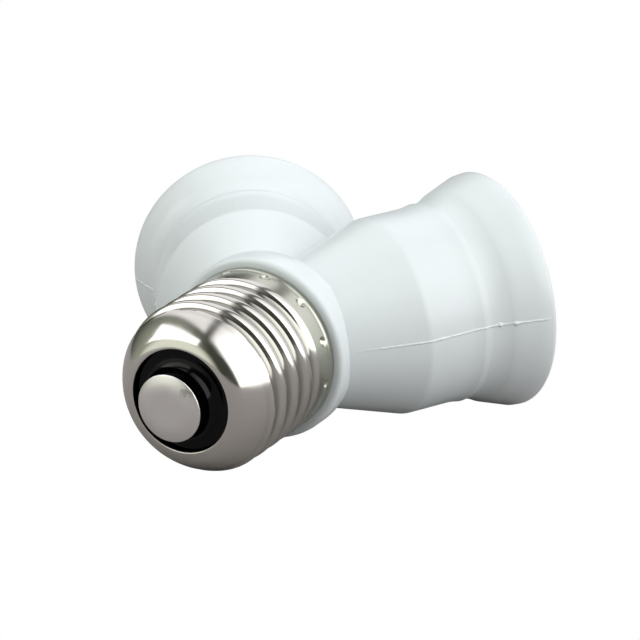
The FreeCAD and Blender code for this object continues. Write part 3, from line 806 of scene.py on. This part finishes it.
def worn_contact(groups):
    """Satin contact with a dull mark near its upper right edge."""
    clean_colour, mark_colour = (0.70, 0.69, 0.67), (0.33, 0.33, 0.31)
    mark_at, ragged_by = (3.3, 0.2, 2.9), 2.4
    material, tree, shader = new_material("satin_contact")
    place = use_group(tree, groups["place"])["Stem"]
    surface = use_group(tree, groups["moulded"], {"Place": place, "Wave": 0.0, "Grain": 0.006})
    ragged = node(tree, "TexNoise", {"Vector": place, "Scale": 1.3, "Detail": 3.0})
    distance = node(tree, "VectorMath", {0: place, 1: mark_at}, "Value", operation="DISTANCE")
    distance = maths(tree, "ADD", distance, maths(tree, "MULTIPLY", ragged, ragged_by))
    mark = step_up(tree, distance, 1.4, 2.4, 0.7, 0.0)
    feed(tree, shader["Base Color"], mixed(tree, mark, clean_colour, mark_colour))
    feed(tree, shader["Roughness"], mottled(tree, surface["Mottle"], 0.34, 0.42))
    feed(tree, shader["Normal"], surface["Normal"])
    shader["Metallic"].default_value = 1.0
    return material


def dress_carried(groups):
    """Gives every node that the scene keeps from the part its material."""
    pale = plastic("pale_moulding", groups, (0.72, 0.71, 0.67), roughness=0.5)
    brass = metal("spring_brass", groups, (0.80, 0.60, 0.28), roughness=0.25, along="Branch")
    tinned = metal("tinned_brass", groups, (0.74, 0.73, 0.70), roughness=0.3, along="Branch")
    solder = metal("dull_solder", groups, (0.62, 0.62, 0.63), roughness=0.42, depth=0.01)
    red = plastic("red_insulation", groups, (0.5, 0.03, 0.02), roughness=0.45)
    grey = plastic("pale_insulation", groups, (0.75, 0.75, 0.73), roughness=0.45)
    of_branch = {"contact_carrier": pale, "contact_tongue": brass, "tongue_rivet": tinned,
                 "shell_rivets": tinned, "live_wire": red, "neutral_wire": grey}
    materials = {side + "_" + name: material for name, material in of_branch.items() for side in SIDES}
    materials.update(live_solder=solder, neutral_solder=solder)
    for name, material in materials.items():
        for slot in frame["nodes"][name].material_slots:
            slot.material = material


# Camera, light and floor

def add_camera():
    """The photograph's view: a fitted distance, direction and roll about the adapter's own frame."""
    azimuth, elevation, roll = math.radians(30.47), math.radians(18.74), math.radians(-4.95)
    distance, look_at = 546.5, 45.0
    photo_width, focal, shift_right, shift_up = 640, 3504.5, 4.7, -8.5
    sensor = 36
    turn = Matrix.Rotation(azimuth, 3, "Z")
    back = turn @ Vector((0, -math.cos(elevation), math.sin(elevation)))
    level_up = turn @ Vector((0, math.sin(elevation), math.cos(elevation)))
    level_right = turn @ Vector((1, 0, 0))
    right = level_right * math.cos(roll) + level_up * math.sin(roll)
    up = level_up * math.cos(roll) - level_right * math.sin(roll)
    axes = REST.to_3x3().normalized() @ Matrix((right, up, back)).transposed()
    camera = bpy.data.objects.new("camera", bpy.data.cameras.new("camera"))
    place = REST @ (back * distance + Vector((0, look_at, 0)))
    camera.matrix_world = Matrix.Translation(place) @ axes.to_4x4()
    camera.data.sensor_width = sensor
    camera.data.lens = focal / photo_width * sensor
    camera.data.shift_x = shift_right / photo_width
    camera.data.shift_y = shift_up / photo_width
    camera.data.clip_start = 0.01
    bpy.context.collection.objects.link(camera)
    bpy.context.scene.camera = camera


def area_light(name, toward, across, size, radiance, colour):
    """Soft box one metre off that faces the adapter, turned so that its width follows a direction."""
    middle_height = 0.018
    light = bpy.data.lights.new(name, "AREA")
    light.shape = "RECTANGLE"
    light.size, light.size_y = size
    light.energy = radiance * math.pi * size[0] * size[1]
    light.color = colour
    back = Vector(toward).normalized()
    side = (Vector(across) - back * back.dot(Vector(across))).normalized()
    turn = Matrix((side, back.cross(side), back)).transposed()
    obj = bpy.data.objects.new(name, light)
    obj.matrix_world = Matrix.Translation(back + Vector((0, 0, middle_height))) @ turn.to_4x4()
    bpy.context.collection.objects.link(obj)


def white_to_camera(tree, shader, white, output):
    """White where the camera looks straight at it, and another shader for all other rays."""
    straight = node(tree, "LightPath", {}, "Is Camera Ray")
    surface = node(tree, "MixShader", {0: straight, 1: shader, 2: white})
    feed(tree, tree.nodes[output].inputs["Surface"], surface)


def add_floor():
    """Pale floor that the camera sees as white."""
    half_width = 3.0
    paper = bmesh.new()
    bmesh.ops.create_grid(paper, x_segments=1, y_segments=1, size=half_width)
    floor = as_object("floor", paper)
    material, tree, shader = new_material("floor_paper")
    shader["Base Color"].default_value = (0.30, 0.282, 0.282, 1)
    shader["Roughness"].default_value = 0.9
    white = node(tree, "Emission", {"Color": (1, 1, 1, 1)})
    white_to_camera(tree, tree.nodes["Principled BSDF"].outputs[0], white, "Material Output")
    floor.data.materials.append(material)


# Direction square to the front edge of the tent
FRONT_EDGE = (0.5, 0.8, 0.33)


def add_world():
    """White tent over the back of a dark studio, brighter on the right, with a seam overhead."""
    left_wall, left_glow = (-0.8, -0.5, 0.35), (0.42, 0.44, 0.37)
    front_card, card_glow = (-0.5, -0.85, 0.14), (1.15, 1.17, 1.03)
    right_side, white_cloth, lit_cloth = (0.9, -0.42, 0.08), (1.36, 1.33, 1.38), (3.0, 3.0, 3.0)
    across_seam, seam_colour = (0.995, 0, -0.1), (0.12, 0.12, 0.12)
    back_gap, dark = (-0.62, 0.78, 0.1), (0.07, 0.075, 0.06)
    world = bpy.data.worlds.new("studio")
    world.use_nodes = True
    tree = world.node_tree
    toward = node(tree, "TexCoord", {}, "Generated")

    def lean(direction):
        return node(tree, "VectorMath", {0: toward, 1: direction}, "Value", operation="DOT_PRODUCT")

    studio = mixed(tree, step_up(tree, lean(left_wall), 0.4, 1.0), dark, left_glow)
    studio = mixed(tree, step_up(tree, lean(front_card), 0.76, 0.95), studio, card_glow)
    tent = mixed(tree, step_up(tree, lean(right_side), 0.3, 0.85), white_cloth, lit_cloth)
    off_seam = maths(tree, "ABSOLUTE", lean(across_seam))
    tent = mixed(tree, step_up(tree, off_seam, 0.04, 0.13), seam_colour, tent)
    tent = mixed(tree, step_up(tree, lean(back_gap), 0.82, 0.9), tent, dark)
    colour = mixed(tree, step_up(tree, lean(FRONT_EDGE), -0.04, 0.05), studio, tent)
    background = tree.nodes["Background"]
    feed(tree, background.inputs["Color"], colour)
    white = node(tree, "Background", {"Color": (1, 1, 1, 1)})
    white_to_camera(tree, background.outputs[0], white, "World Output")
    bpy.context.scene.world = world


def main():
    bpy.context.scene.view_settings.view_transform = "Standard"
    groups = {"place": place_group(), "moulded": moulded_group(), "rolled": rolled_group()}
    white = plastic("white_moulding", groups, (0.632, 0.685, 0.69), roughness=0.34, shade=0.97)
    black = plastic("black_moulding", groups, (0.0004, 0.0004, 0.0006), roughness=0.1, gloss=0.16)
    sockets = metal("rolled_socket", groups, (0.72, 0.71, 0.68), roughness=0.2, along="Branch")
    make_housing(white)
    make_shells(threaded_metal(groups), sockets)
    make_base_end(worn_contact(groups), black)
    dress_carried(groups)
    add_camera()
    add_floor()
    add_world()
    area_light("front_box", (-0.55, -0.5, 0.67), FRONT_EDGE, (0.5, 1.2), 2.2, (0.97, 0.96, 1))


main()
